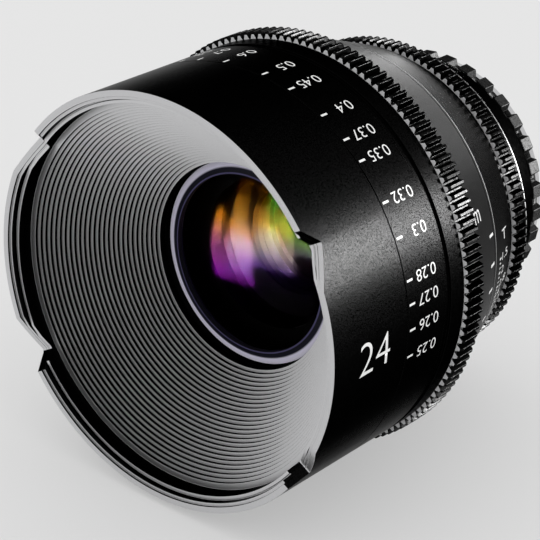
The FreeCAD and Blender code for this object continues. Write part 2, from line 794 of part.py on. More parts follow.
# Iris ring, its gear and the parts that turn with it
def iris_ring():
    bore = iris_seat_radius + running_gap
    gear_front = iris_ring_rear - iris_gear_width
    relief_front = gear_front - iris_relief_width
    outline = [(bore, iris_ring_front), (taper(iris_ring_front), iris_ring_front),
               (taper(relief_front), relief_front), (iris_relief_radius, relief_front),
               (iris_relief_radius, gear_front), (iris_gear_seat_radius, gear_front),
               (iris_gear_seat_radius, iris_ring_rear), (bore, iris_ring_rear)]
    return turned(outline).cut(drive_pin_bar())


def iris_gear():
    return gear(iris_gear_root_radius, iris_gear_rim, iris_ring_rear - iris_gear_width, iris_ring_rear)


def iris_stop_ring():
    return tube(rear_band_radius + iris_stop_height, rear_band_radius, iris_stop_front, rear_band_front)


def drive_pin_bar():
    inner = drive_ring_radius - drive_pin_depth_in_ring
    return radial_bar(drive_pin_radius, inner, iris_gear_seat_radius, drive_pin_angle, drive_pin_depth)


def pivot_point():
    return polar(blade_pivot_radius, 0)


def ear_point():
    """Drive pin's place on the blade before it swings."""
    return Vector(blade_pivot_radius, blade_ear_length, 0)


def swung(point, swing):
    """A point of the blade after the blade closes by a number of degrees."""
    arm = point - pivot_point()
    turned_arm = FreeCAD.Rotation(AXIS, -swing).multVec(arm)
    return pivot_point() + turned_arm


def slot_point(turn):
    """Drive pin's place in the drive ring's own frame, at a turn from the open stop."""
    place = swung(ear_point(), blade_open_swing + blade_ratio * turn)
    return FreeCAD.Rotation(AXIS, turn).multVec(place)


def blade_slots():
    """Curved slots that follow the drive pins from the open to the closed stop."""
    half = blade_pin_radius + pin_gap
    whole = open_turn + closed_turn
    turns = (0, whole / 2, whole)
    start, middle, end = [slot_point(turn) for turn in turns]
    arc = Part.Arc(start, middle, end).toShape().Curve
    centre = arc.Center
    outer = Part.makeCylinder(arc.Radius + half, drive_ring_thickness, centre, AXIS)
    inner = Part.makeCylinder(arc.Radius - half, drive_ring_thickness, centre, AXIS)
    wedge = Part.makePolygon([centre, centre + (start - centre) * 3, centre + (middle - centre) * 3,
                              centre + (end - centre) * 3, centre])
    band = outer.cut(inner).common(Part.Face(wedge).extrude(Vector(0, 0, drive_ring_thickness)))
    ends = [Part.makeCylinder(half, drive_ring_thickness, point, AXIS) for point in (start, end)]
    slot = band.fuse(ends)
    slot.translate(Vector(0, 0, drive_ring_front))
    return at_angles(slot, blade_count, -open_turn)


def iris_drive_ring():
    inner = blade_pivot_radius - drive_ring_lip
    ring = tube(drive_ring_radius, inner, drive_ring_front, drive_ring_rear)
    return ring.cut(blade_slots()).cut(drive_pin_bar())


# Iris blades: eleven leaves, each at its own level and on its own pivot
def blade_plate():
    """One leaf before it swings, with its pad and drive ear."""
    outer = blade_inner_radius + blade_width
    band = sector(outer, blade_inner_radius, 0, blade_thickness, -blade_sweep, blade_sweep)
    middle_radius = blade_inner_radius + blade_width / 2
    tip = Part.makeCylinder(blade_width / 2, blade_thickness, polar(middle_radius, -blade_sweep), AXIS)
    heel = Part.makeCylinder(blade_width / 2, blade_thickness, polar(middle_radius, 0), AXIS)
    pad = Part.makeCylinder(blade_pad_radius, blade_thickness, pivot_point(), AXIS)
    ear = Part.makeCylinder(blade_ear_radius, blade_thickness, ear_point(), AXIS)
    strip = Part.makeBox(2 * blade_ear_radius, blade_ear_length, blade_thickness,
                         pivot_point() - Vector(blade_ear_radius, 0, 0))
    neck = Part.makeBox(blade_pivot_radius - middle_radius, 2 * blade_pad_radius, blade_thickness,
                        Vector(middle_radius, -blade_pad_radius, 0))
    return band.fuse([tip, heel, pad, ear, strip, neck]).removeSplitter()


def iris_blade(index):
    level = blade_front + index * blade_pitch
    plate = blade_plate()
    plate.translate(Vector(0, 0, level))
    pivot_end = base_rear - blade_space
    pin_start = drive_ring_front + blade_space
    pivot = Part.makeCylinder(blade_pin_radius, pivot_end - level, pivot_point() + Vector(0, 0, level), AXIS)
    drive = Part.makeCylinder(blade_pin_radius, level + blade_thickness - pin_start,
                              ear_point() + Vector(0, 0, pin_start), AXIS)
    blade = plate.fuse([pivot, drive]).removeSplitter()
    blade.rotate(pivot_point(), AXIS, -(blade_open_swing + blade_ratio * open_turn))
    blade.rotate(ORIGIN, AXIS, index * 360.0 / blade_count)
    return blade


def iris_base_plate():
    rim_inner = iris_bore_radius - base_plate_rim
    rim_front = drive_ring_rear + running_gap
    outline = [(base_plate_bore_radius, base_front), (rim_inner, base_front), (rim_inner, rim_front),
               (iris_bore_radius, rim_front), (iris_bore_radius, base_rear),
               (base_plate_bore_radius, base_rear)]
    hole = drilled(blade_pin_radius + pin_gap, base_front, base_rear, blade_pivot_radius, 0)
    return turned(outline).cut(at_angles(hole, blade_count))


def iris_lock_ring():
    rear = drive_ring_front - running_gap
    return tube(iris_bore_radius, iris_bore_radius - iris_lock_ring_width,
                rear - iris_lock_ring_thickness, rear)


# Rear group: cell, four elements and their rings
def rear_cell():
    front = front_edge(seventh) - glass_gap
    lip_front = front - retainer_width
    lip_inner = seventh.rim - retainer_width
    cell_radius = seventh.rim + cell_wall
    flange_end = rear_lip_rear + cell_flange_thickness
    outline = [(lip_inner, lip_front), (cell_radius, lip_front), (cell_radius, rear_lip_rear),
               (rear_bore_radius, rear_lip_rear), (rear_bore_radius, flange_end),
               (cell_radius, flange_end), (cell_radius, rear_cell_rear), (seventh.rim, rear_cell_rear),
               (seventh.rim, front), (lip_inner, front)]
    return turned(outline)


def rear_cell_lock_ring():
    flange_end = rear_lip_rear + cell_flange_thickness
    return tube(rear_bore_radius, rear_bore_radius - lock_ring_width, flange_end,
                flange_end + lock_ring_thickness)


def rear_spacers():
    return [spacer(eighth, ninth), spacer(ninth, tenth)]


# Grip ring: rubber blocks ahead of the mount
def grip_ring():
    return toothed_ring(grip_floor_radius, grip_radius, grip_seat_radius, grip_block_count,
                        (grip_block_root_share, grip_block_tip_share), rear_band_rear, grip_rear,
                        grip_edge_bevel)


# Bayonet mount with its shim, screws and light mask
def mount_screw_room():
    return screw_room(mount_screw_count, mount_screw_radius, mount_screw_length, mount_screw_circle,
                      flange_depth, 45)


def mount_screws():
    return screws(mount_screw_count, mount_screw_radius, mount_screw_length, mount_screw_circle,
                  flange_depth, 45)


def mount_shim():
    return tube(grip_seat_radius, rear_bore_radius, grip_rear, shim_rear).cut(mount_screw_room())


def bayonet_mount():
    spigot_rear = flange_depth + spigot_length
    mask_seat = mount_bore_radius - mask_inset
    mask_rear = spigot_rear - mask_inset
    outline = [(mount_bore_radius, shim_rear), (mount_radius, shim_rear), (mount_radius, flange_depth),
               (spigot_radius, flange_depth), (spigot_radius, spigot_rear), (mask_seat, spigot_rear),
               (mask_seat, mask_rear), (mount_bore_radius, mask_rear)]
    lug_front = flange_depth + lug_offset
    lugs = at_angles(sector(lug_radius, mount_bore_radius, lug_front, lug_front + lug_thickness,
                            -lug_sweep / 2, lug_sweep), lug_count, -90)
    body = turned(outline).fuse(lugs).removeSplitter()
    lock_hole = drilled(lock_hole_radius, flange_depth - lock_hole_depth, flange_depth, lock_hole_circle, 0)
    return body.cut(lock_hole).cut(mount_screw_room())


def rear_light_mask():
    mask_rear = flange_depth + spigot_length - mask_inset
    mask_front = mask_rear - mask_thickness
    plate = Part.makeCylinder(mount_bore_radius, mask_thickness, Vector(0, 0, mask_front), AXIS)
    window = Part.makeBox(mask_window_width, mask_window_height, mask_thickness,
                          Vector(-mask_window_width / 2, -mask_window_height / 2, mask_front))
    return plate.cut(window)


def placed(shape):
    """Lay the optical axis along Y, with the flange face at the origin."""
    shape = shape.copy()
    shape.rotate(ORIGIN, Vector(1, 0, 0), -90)
    shape.translate(Vector(0, -flange_depth, 0))
    return shape


pieces = {
    "front_barrel": front_barrel(),
    "ribbed_baffle": ribbed_baffle(),
    "front_retaining_ring": front_retaining_ring(),
    "front_cell": front_cell(),
    "front_cell_lock_ring": front_cell_lock_ring(),
    "front_element": lens(first),
    "front_spacer": front_spacer(),
    "second_element": lens(second),
    "third_element": lens(third),
    "third_element_retainer": retainer(third),
    "guide_barrel": guide_barrel(),
    "guide_barrel_screws": guide_barrel_screws(),
    "focus_stop_pin": stop_pin(),
    "focus_ring": focus_ring(),
    "focus_gear": focus_gear(),
    "cam_sleeve": cam_sleeve(),
    "cam_lock_ring": cam_lock_ring(),
    "focus_carriage": focus_carriage(),
    "follower_studs": follower_studs(),
    "follower_rollers": follower_rollers(),
    "fourth_element": lens(fourth),
    "focus_group_spacer": spacer(fourth, fifth),
    "fifth_element": lens(fifth),
    "sixth_element": lens(sixth),
    "focus_group_retainer": retainer(sixth),
    "mid_barrel": mid_barrel(),
    "barrel_screws": barrel_screws(),
    "rear_barrel": rear_barrel(),
    "iris_ring": iris_ring(),
    "iris_gear": iris_gear(),
    "iris_stop_ring": iris_stop_ring(),
    "iris_drive_pin": drive_pin_bar(),
    "iris_drive_ring": iris_drive_ring(),
    "iris_base_plate": iris_base_plate(),
    "iris_lock_ring": iris_lock_ring(),
    "rear_cell": rear_cell(),
    "rear_cell_lock_ring": rear_cell_lock_ring(),
    "seventh_element": lens(seventh),
    "eighth_element": lens(eighth),
    "ninth_element": lens(ninth),
    "tenth_element": lens(tenth),
    "rear_spacers": rear_spacers(),
    "rear_element_retainer": retainer(tenth),
    "grip_ring": grip_ring(),
    "mount_shim": mount_shim(),
    "bayonet_mount": bayonet_mount(),
    "mount_screws": mount_screws(),
    "rear_light_mask": rear_light_mask(),
}
for blade in range(blade_count):
    pieces["iris_blade_%02d" % (blade + 1)] = iris_blade(blade)

os.makedirs("parts", exist_ok=True)
for name, shape in pieces.items():
    whole = Part.makeCompound(shape) if isinstance(shape, list) else shape
    placed(whole).exportStep("parts/%s.step" % name)
    print(name, len(whole.Solids), "valid" if whole.isValid() else "NOT VALID", round(whole.Volume))
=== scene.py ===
import json
from math import asin, cos, degrees, pi, radians, sin

import bmesh
import bpy
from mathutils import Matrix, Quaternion, Vector

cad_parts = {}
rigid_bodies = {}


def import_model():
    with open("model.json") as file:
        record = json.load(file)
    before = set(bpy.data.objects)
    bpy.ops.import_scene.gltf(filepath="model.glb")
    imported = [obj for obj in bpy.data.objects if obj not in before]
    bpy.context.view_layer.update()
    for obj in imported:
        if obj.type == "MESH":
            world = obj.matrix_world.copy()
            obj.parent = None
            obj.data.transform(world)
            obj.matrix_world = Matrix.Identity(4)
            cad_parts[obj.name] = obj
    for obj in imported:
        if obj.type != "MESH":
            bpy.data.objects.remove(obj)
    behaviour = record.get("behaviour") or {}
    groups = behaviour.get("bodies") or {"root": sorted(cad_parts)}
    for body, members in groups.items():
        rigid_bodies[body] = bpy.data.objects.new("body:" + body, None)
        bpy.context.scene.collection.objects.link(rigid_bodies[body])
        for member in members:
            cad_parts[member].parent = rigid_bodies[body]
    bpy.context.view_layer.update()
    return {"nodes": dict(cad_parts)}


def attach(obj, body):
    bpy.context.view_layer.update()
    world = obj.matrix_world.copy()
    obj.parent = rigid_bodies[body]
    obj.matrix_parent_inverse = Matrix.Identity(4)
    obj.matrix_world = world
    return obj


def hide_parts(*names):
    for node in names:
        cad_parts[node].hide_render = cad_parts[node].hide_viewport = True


for leftover in list(bpy.data.objects):
    bpy.data.objects.remove(leftover)
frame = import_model()

# Camera: a long lens at the place the photograph was taken from, in front of the object,
# to its right and a little above it.
camera_data = bpy.data.cameras.new("camera")
camera_data.lens = 138.37
camera_data.clip_start = 0.01
camera = bpy.data.objects.new("camera", camera_data)
sight_line = Vector((-0.564, 0.702, -0.434))
camera.rotation_mode = "QUATERNION"
camera.rotation_quaternion = sight_line.to_track_quat("-Z", "Y") @ Quaternion((0, 0, 1), 0.0399)
camera.location = (0.3179, -0.4730, 0.2395)
bpy.context.scene.collection.objects.link(camera)
bpy.context.scene.camera = camera
bpy.context.scene.view_settings.view_transform = "Standard"

# Studio: a plain pale table that the lens lies on, and a pale room around it.
# What the camera, metal and glass see of them is the photograph's background grey.
background_grey = (0.791, 0.791, 0.791, 1)


def only_for_looks(tree, bright, dim):
    """Mix of two shaders: the first for what looks at the studio, the second for what it lights."""
    path = tree.nodes.new("ShaderNodeLightPath")
    looks = tree.nodes.new("ShaderNodeMath")
    looks.operation = "MAXIMUM"
    tree.links.new(path.outputs["Is Camera Ray"], looks.inputs[0])
    tree.links.new(path.outputs["Is Glossy Ray"], looks.inputs[1])
    through = tree.nodes.new("ShaderNodeMath")
    through.operation = "MAXIMUM"
    tree.links.new(looks.outputs[0], through.inputs[0])
    tree.links.new(path.outputs["Is Transmission Ray"], through.inputs[1])
    mix = tree.nodes.new("ShaderNodeMixShader")
    tree.links.new(through.outputs[0], mix.inputs[0])
    tree.links.new(dim, mix.inputs[1])
    tree.links.new(bright, mix.inputs[2])
    return mix.outputs[0]


world = bpy.context.scene.world or bpy.data.worlds.new("room")
bpy.context.scene.world = world
world.use_nodes = True
tree = world.node_tree
tree.nodes.clear()
seen = tree.nodes.new("ShaderNodeBackground")
seen.inputs["Color"].default_value = background_grey
ambient = tree.nodes.new("ShaderNodeBackground")
ambient.inputs["Color"].default_value = (1.0, 1.0, 1.0, 1)
world_output = tree.nodes.new("ShaderNodeOutputWorld")
tree.links.new(only_for_looks(tree, seen.outputs[0], ambient.outputs[0]), world_output.inputs["Surface"])

table_material = bpy.data.materials.new("pale_table")
table_material.use_nodes = True
tree = table_material.node_tree
tree.nodes.clear()
paint = tree.nodes.new("ShaderNodeBsdfDiffuse")
paint.inputs["Color"].default_value = background_grey
even_grey = tree.nodes.new("ShaderNodeEmission")
even_grey.inputs["Color"].default_value = background_grey
soft_shadow = tree.nodes.new("ShaderNodeMixShader")
soft_shadow.inputs[0].default_value = 0.5
tree.links.new(paint.outputs[0], soft_shadow.inputs[1])
tree.links.new(even_grey.outputs[0], soft_shadow.inputs[2])
table_output = tree.nodes.new("ShaderNodeOutputMaterial")
tree.links.new(only_for_looks(tree, soft_shadow.outputs[0], paint.outputs[0]), table_output.inputs["Surface"])
table_height = -0.05885
table_reach = 4.0
table_mesh = bpy.data.meshes.new("table")
table_mesh.from_pydata([(x * table_reach, y * table_reach, table_height)
                        for x, y in ((-1, -1), (1, -1), (1, 1), (-1, 1))], [], [(0, 1, 2, 3)])
table_mesh.materials.append(table_material)
table = bpy.data.objects.new("table", table_mesh)
bpy.context.scene.collection.objects.link(table)


def softbox(name, towards, distance, width, height, power, aim=(0, -0.06, 0)):
    """Area lamp that stands off in one direction and faces the lens. It shows only in reflections, because
    the room's even light is enough for everything else."""
    lamp_data = bpy.data.lights.new(name, "AREA")
    lamp_data.shape = "RECTANGLE"
    lamp_data.size = width
    lamp_data.size_y = height
    lamp_data.energy = power
    lamp = bpy.data.objects.new(name, lamp_data)
    lamp.location = Vector(aim) + Vector(towards).normalized() * distance
    lamp.rotation_mode = "QUATERNION"
    lamp.rotation_quaternion = (-Vector(towards)).to_track_quat("-Z", "Y")
    lamp.visible_camera = False
    lamp.visible_diffuse = False
    bpy.context.scene.collection.objects.link(lamp)
    return lamp


right_rear = softbox("right_rear_softbox", (0.65, 0.72, 0.20), distance=2.5, width=0.4, height=0.7,
                     power=270.0)
softbox("rear_softbox", (-0.2, 0.97, 0.045), distance=0.9, width=0.55, height=0.18, power=2.8)

# Front barrel: the black tube that everything in front of the focus ring sits in.
# Turned from aluminium bar, its rim milled with four notches, then anodised satin black. Its faces that look
# forward carry a light grey painted highlight.
barrel_radius = 57.0
flange_depth = 122.0


def on_lens(radius, angle, depth):
    """Point at a radius, an angle clockwise from the right side, and a depth behind the rim, in mm."""
    turn = radians(angle)
    return (radius * cos(turn) / 1000, (depth - flange_depth) / 1000, -radius * sin(turn) / 1000)


def fitted(mesh, materials, body, stands_for=(), which=None):
    """Object of a mesh, riding on a body in place of CAD nodes. which says which of its materials a face
    takes, and without it every face takes the first."""
    for material in materials:
        mesh.materials.append(material)
    for face in mesh.polygons:
        face.material_index = which(face) if which else 0
    mesh.shade_smooth()
    piece = bpy.data.objects.new(mesh.name, mesh)
    bpy.context.scene.collection.objects.link(piece)
    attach(piece, body)
    if stands_for:
        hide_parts(*stands_for)
    return piece


def as_piece(name, points, faces, materials, body, stands_for=(), which=None):
    """Piece from its points and faces."""
    mesh = bpy.data.meshes.new(name)
    mesh.from_pydata(points, [], faces)
    mesh.validate()
    return fitted(mesh, materials, body, stands_for, which)


def ease_edges(piece, width):
    """Small rounding on every hard edge, as a deburred turned part has."""
    bevel = piece.modifiers.new("eased_edges", "BEVEL")
    bevel.width = width / 1000
    bevel.segments = 2
    bevel.limit_method = "ANGLE"
    bevel.angle_limit = radians(30)
    bevel.use_clamp_overlap = False
    bevel.harden_normals = True


def turned_faces(profile_count, column_count):
    """Faces of a closed profile swept once around, with the outside outward."""
    faces = []
    for column in range(column_count):
        beside = (column + 1) % column_count
        for point in range(profile_count):
            following = (point + 1) % profile_count
            faces.append((column * profile_count + point, beside * profile_count + point,
                          beside * profile_count + following, column * profile_count + following))
    return faces


def turned(name, profile, materials, body, stands_for=(), ease=0.12, columns=256, which=None):
    """Part turned on a lathe: a closed profile of (radius, depth) swept around the optical axis."""
    points = [on_lens(radius, 360 * column / columns, depth)
              for column in range(columns) for radius, depth in profile]
    piece = as_piece(name, points, turned_faces(len(profile), columns), materials, body, stands_for, which)
    ease_edges(piece, ease)
    return piece


def grained(name, colour, roughness, grain=0.6, edge=0.3, mottle=0.6, grain_size=4200.0, metal=1.0):
    """Finish with the fine grain of a blasted, ground or moulded surface. As it stands it is anodised
    aluminium. grain is its relief, mottle its change of colour, and edge its sheen at a low angle."""
    material = bpy.data.materials.new(name)
    material.use_nodes = True
    tree = material.node_tree
    shader = tree.nodes["Principled BSDF"]
    shader.inputs["Metallic"].default_value = metal
    shader.inputs["Specular Tint"].default_value = (edge, edge, edge, 1)
    place = tree.nodes.new("ShaderNodeTexCoord")
    speck = tree.nodes.new("ShaderNodeTexNoise")
    speck.inputs["Scale"].default_value = grain_size
    speck.inputs["Detail"].default_value = 2
    tree.links.new(place.outputs["Object"], speck.inputs["Vector"])
    tone = tree.nodes.new("ShaderNodeValToRGB")
    tone.color_ramp.elements[0].position = 0.4
    tone.color_ramp.elements[0].color = [channel * (1 - mottle) for channel in colour] + [1]
    tone.color_ramp.elements[1].position = 0.6
    tone.color_ramp.elements[1].color = [channel * (1 + mottle) for channel in colour] + [1]
    tree.links.new(speck.outputs["Fac"], tone.inputs["Fac"])
    tree.links.new(tone.outputs["Color"], shader.inputs["Base Color"])
    gloss = tree.nodes.new("ShaderNodeMapRange")
    gloss.inputs["To Min"].default_value = roughness - 0.06
    gloss.inputs["To Max"].default_value = roughness + 0.06
    tree.links.new(speck.outputs["Fac"], gloss.inputs["Value"])
    tree.links.new(gloss.outputs["Result"], shader.inputs["Roughness"])
    relief = tree.nodes.new("ShaderNodeBump")
    relief.inputs["Strength"].default_value = grain
    relief.inputs["Distance"].default_value = 0.00003
    tree.links.new(speck.outputs["Fac"], relief.inputs["Height"])
    tree.links.new(relief.outputs["Normal"], shader.inputs["Normal"])
    return material


satin_black = grained("satin_black", (0.004, 0.004, 0.004), 0.29)
# Light grey painted highlight for faces that look forward, standing in for the light they catch on a black
# part.
front_painted_highlight = grained("front_painted_highlight", (0.62, 0.62, 0.63), 0.4, grain=0.1, edge=1.0, mottle=0.06,
                     grain_size=6000.0)


def front_facing(face):
    """1 for a face that looks forward, 0 for any other. The faces that look forward take a part's painted
    highlight grey.
    """
    return 1 if face.normal.y < -0.9 else 0


# Outline of a notch as (offset along the rim, depth of the floor), with a rounded corner in it.
notch_half_width = 7.884
notch_corner = 1.2
notch_line = [(-notch_half_width, 0.0), (-6.0, 2.105)]
notch_line += [(-2.931 + notch_corner * sin(radians(side)), 3.735 + notch_corner * cos(radians(side)))
               for side in (-48.2, -33.5, -18.9, -4.2, 10.4, 25.1)]
notch_line += [(1.0, 3.220), (4.5, 1.583), (notch_half_width, 0.0)]
# Angle of each notch, and the way round that its outline runs.
notch_places = ((-30.75, 1), (-149.25, -1), (149.25, 1), (30.75, -1))
# Degrees to each side of a notch that have no plain columns, and a depth that no notch reaches.
notch_clearance = 8.6
below_notches = 5.5
plain_columns = 300


def notched_columns():
    """Columns around the rim as (centre, offset, floor): those of the four notches and the plain ones."""
    columns = []
    for centre, side in notch_places:
        columns += [(centre, side * offset, floor) for offset, floor in notch_line]
    for step in range(plain_columns):
        plain = 360 * step / plain_columns
        away = min(abs((plain - centre + 180) % 360 - 180) for centre, side in notch_places)
        if away > notch_clearance:
            columns.append((plain, 0.0, 0.0))
    return sorted(columns, key=lambda column: (column[0] + degrees(asin(column[1] / barrel_radius))) % 360)


def notched(name, profile, materials, body, stands_for, ease, which=None):
    """Turned part whose front end is cut back to the floor of the rim's notches."""
    columns = notched_columns()
    points = []
    for centre, offset, floor in columns:
        for radius, depth in profile:
            across = radius if depth < below_notches else barrel_radius
            points.append(on_lens(radius, centre + degrees(asin(offset / across)), max(depth, floor)))
    piece = as_piece(name, points, turned_faces(len(profile), len(columns)), materials, body, stands_for,
                     which)
    ease_edges(piece, ease)
    return piece


barrel_rear = 29.6
barrel_profile = [(barrel_radius, 0.0), (barrel_radius, barrel_rear), (46.4, barrel_rear), (46.4, 26.0),
                  (53.0, 26.0), (53.0, 9.0), (54.0, 9.0), (54.0, 2.4), (54.4, 2.4), (54.4, 0.6),
                  (55.3, 0.6), (55.3, 0.0)]
notched("front_barrel_looks", barrel_profile, [satin_black, front_painted_highlight], "barrel", ["front_barrel"], 0.12,
        front_facing)

# Ribbed baffle: a funnel of 27 stepped ribs that keeps stray light off the glass.
# Turned from aluminium and blackened; the ribs' front faces carry a light grey painted highlight.
rib_count = 27
baffle_front = 2.0
first_rib_depth = 6.5
first_rib_radius = 52.2
rib_pitch_depth = 0.985
rib_pitch_radius = 0.856
baffle_profile = [(53.1, baffle_front), (54.0, baffle_front), (54.0, 9.0), (51.63, 9.0),
                  (30.69, 33.1), (30.69, 34.3), (29.09, 34.3)]
for rib in reversed(range(rib_count)):
    ledge_depth = first_rib_depth + rib * rib_pitch_depth
    baffle_profile.append((first_rib_radius - (rib + 1) * rib_pitch_radius, ledge_depth))
    baffle_profile.append((first_rib_radius - rib * rib_pitch_radius, ledge_depth))
baffle_profile.append((53.1, first_rib_depth))
baffle_black = grained("baffle_black", (0.003, 0.003, 0.003), 0.5, edge=0.05)
# Light grey painted highlight on the ribs' front faces.
rib_painted_highlight = grained("rib_painted_highlight", (0.66, 0.66, 0.67), 0.42, grain=0.05, edge=1.0, mottle=0.05,
                   grain_size=6000.0)
notched("ribbed_baffle_looks", baffle_profile, [baffle_black, rib_painted_highlight], "barrel", ["ribbed_baffle"],
        0.08, front_facing)

# Front retaining ring: the bezel that holds the front glass in its cell.
# Turned aluminium, screwed in from the front. Its face is painted light: a lavender grey painted highlight on
# its outer part, and painted shade that darkens it to black toward the bore.
bezel_bore = 25.0
bezel_radius = 28.8
bezel_painted_light = grained("bezel_painted_light", (0.8, 0.78, 0.9), 0.5, grain=0.05, edge=1.0, mottle=0.05,
                     grain_size=6000.0, metal=0.0)
tree = bezel_painted_light.node_tree
place = tree.nodes.new("ShaderNodeTexCoord")
flatten = tree.nodes.new("ShaderNodeVectorMath")
flatten.operation = "MULTIPLY"
flatten.inputs[1].default_value = (1, 0, 1)
tree.links.new(place.outputs["Object"], flatten.inputs[0])
off_axis = tree.nodes.new("ShaderNodeVectorMath")
off_axis.operation = "LENGTH"
tree.links.new(flatten.outputs[0], off_axis.inputs[0])
band = tree.nodes.new("ShaderNodeMapRange")
band.inputs["From Min"].default_value = bezel_bore / 1000
band.inputs["From Max"].default_value = bezel_radius / 1000
tree.links.new(off_axis.outputs["Value"], band.inputs["Value"])
# Painted light over the radius: black from the bore to about half way across, with a faint violet band near
# the bore, then a lavender grey painted highlight that is lighter at the rim. The black is painted shade.
fade = tree.nodes.new("ShaderNodeValToRGB")
for position, colour in ((0.0, (0.01, 0.01, 0.012)), (0.08, (0.10, 0.09, 0.20)), (0.16, (0.006, 0.006, 0.01)),
                         (0.46, (0.01, 0.01, 0.02)), (0.58, (0.76, 0.73, 0.90)), (1.0, (0.85, 0.82, 0.95))):
    stop = fade.color_ramp.elements.new(position) if 0 < position < 1 else \
        fade.color_ramp.elements[-1 if position else 0]
    stop.color = colour + (1,)
tree.links.new(band.outputs["Result"], fade.inputs["Fac"])
tree.links.new(fade.outputs["Color"], tree.nodes["Principled BSDF"].inputs["Base Color"])
tree.nodes["Principled BSDF"].inputs["Specular IOR Level"].default_value = 0.1
bezel_profile = [(bezel_radius, 36.0), (bezel_radius, 39.0), (26.5, 38.7), (bezel_bore, 36.6),
                 (bezel_bore, 35.0)]
turned("bezel_looks", bezel_profile, [bezel_painted_light], "barrel", ["front_retaining_ring"], 0.1)

# Focus ring: the wide ring that carries the distance scale and is turned by hand or by its gear.
# Turned aluminium tube, anodised satin black, running on the guide barrel behind the front barrel.
focus_profile = [(barrel_radius, 29.8), (barrel_radius, 45.7), (56.3, 45.7), (56.3, 48.3),
                 (barrel_radius, 48.3), (barrel_radius, 54.1), (55.4, 54.1), (55.4, 61.0), (53.0, 61.0),
                 (53.0, 29.8)]
turned("focus_ring_looks", focus_profile, [satin_black], "focus_ring", ["focus_ring"])

# Distance scale: dashes and metres from 0.25 to infinity, around the front of the focus ring.
# Engraved in the ring and filled with white paint.
white_fill = bpy.data.materials.new("white_fill")
white_fill.use_nodes = True
tree = white_fill.node_tree
shader = tree.nodes["Principled BSDF"]
shader.inputs["Roughness"].default_value = 0.5
place = tree.nodes.new("ShaderNodeTexCoord")
blotch = tree.nodes.new("ShaderNodeTexNoise")
blotch.inputs["Scale"].default_value = 1500.0
tree.links.new(place.outputs["Object"], blotch.inputs["Vector"])
chalk = tree.nodes.new("ShaderNodeValToRGB")
chalk.color_ramp.elements[0].color = (0.72, 0.72, 0.71, 1)
chalk.color_ramp.elements[1].color = (0.92, 0.92, 0.91, 1)
tree.links.new(blotch.outputs["Fac"], chalk.inputs["Fac"])
tree.links.new(chalk.outputs["Color"], shader.inputs["Base Color"])


def flat_words(words, height, narrow=1.08, bold=-0.006):
    """Words as flat faces, in mm: they start at 0 and are centred across. narrow stretches them along the
    line, and bold thickens their strokes. They are cut in strips, so that they bend around the barrel."""
    letters = bpy.data.curves.new("letters", "FONT")
    letters.body = words
    letters.offset = bold
    holder = bpy.data.objects.new("letters", letters)
    bpy.context.scene.collection.objects.link(holder)
    bpy.context.view_layer.update()
    flat = bpy.data.meshes.new_from_object(holder.evaluated_get(bpy.context.evaluated_depsgraph_get()))
    bpy.data.objects.remove(holder)
    sheet = bmesh.new()
    sheet.from_mesh(flat)
    bmesh.ops.remove_doubles(sheet, verts=sheet.verts, dist=0.0001)
    low = min(vertex.co.y for vertex in sheet.verts)
    high = max(vertex.co.y for vertex in sheet.verts)
    start = min(vertex.co.x for vertex in sheet.verts)
    size = height / (high - low)
    strips = 8
    for cut in range(1, strips):
        everything = sheet.verts[:] + sheet.edges[:] + sheet.faces[:]
        bmesh.ops.bisect_plane(sheet, geom=everything, plane_co=(0, low + (high - low) * cut / strips, 0),
                               plane_no=(0, 1, 0))
    sheet.verts.index_update()
    points = [((vertex.co.x - start) * size * narrow, (vertex.co.y - (low + high) / 2) * size)
              for vertex in sheet.verts]
    faces = [[vertex.index for vertex in face.verts] for face in sheet.faces]
    sheet.free()
    return points, faces


def dash(length, width):
    """Flat rectangle that starts at 0 and is centred across, in mm."""
    points = [(0, -width / 2), (length, -width / 2), (length, width / 2), (0, width / 2)]
    return points, [(0, 1, 2, 3)]


def printed(name, prints, surface, body):
    """Flat shapes laid on a turned surface, as one piece. Each print is (shape, angle, depth, reads, rises):
    reads is 1 if it reads rearward, else -1, and rises is 1 if its top is clockwise, else -1."""
    paint_thickness = 0.03
    points = []
    faces = []
    for (flat_points, flat_faces), angle, depth, reads, rises in prints:
        first = len(points)
        for along, across in flat_points:
            here = depth + reads * along
            radius = surface(here)
            points.append(on_lens(radius + paint_thickness, angle + degrees(rises * across / radius), here))
        for face in flat_faces:
            order = list(face) if reads * rises < 0 else list(reversed(face))
            faces.append([first + index for index in order])
    return as_piece(name, points, faces, [white_fill], body)


# A distance stands scale_spread / (metres - scale_start) degrees from the infinity mark.
scale_spread = 32.36
scale_start = 0.049
infinity_angle = -155.4
distance_marks = []
number_depth = 42.6
dash_depth = 30.5
for metres in ("0.25", "0.26", "0.27", "0.28", "0.3", "0.32", "0.35", "0.37", "0.4", "0.45", "0.5", "0.6",
               "0.7", "0.8", "1", "1.5", "2", "3", "∞"):
    from_infinity = 0.0 if metres == "∞" else scale_spread / (float(metres) - scale_start)
    angle = infinity_angle + from_infinity
    distance_marks.append((flat_words(metres, 3.1), angle, number_depth, -1, 1))
    distance_marks.append((dash(2.3, 0.6), angle, dash_depth, 1, 1))
printed("distance_scale", distance_marks, lambda depth: barrel_radius, "focus_ring")

# Focal length mark: two plain digits on the right side of the front barrel.
# Engraved in the barrel and filled with the same white paint as the scales.
printed("focal_length_mark", [(flat_words("24", 8.9, 1.0, -0.014), -1.0, 10.3, 1, -1)],
        lambda depth: barrel_radius, "barrel")
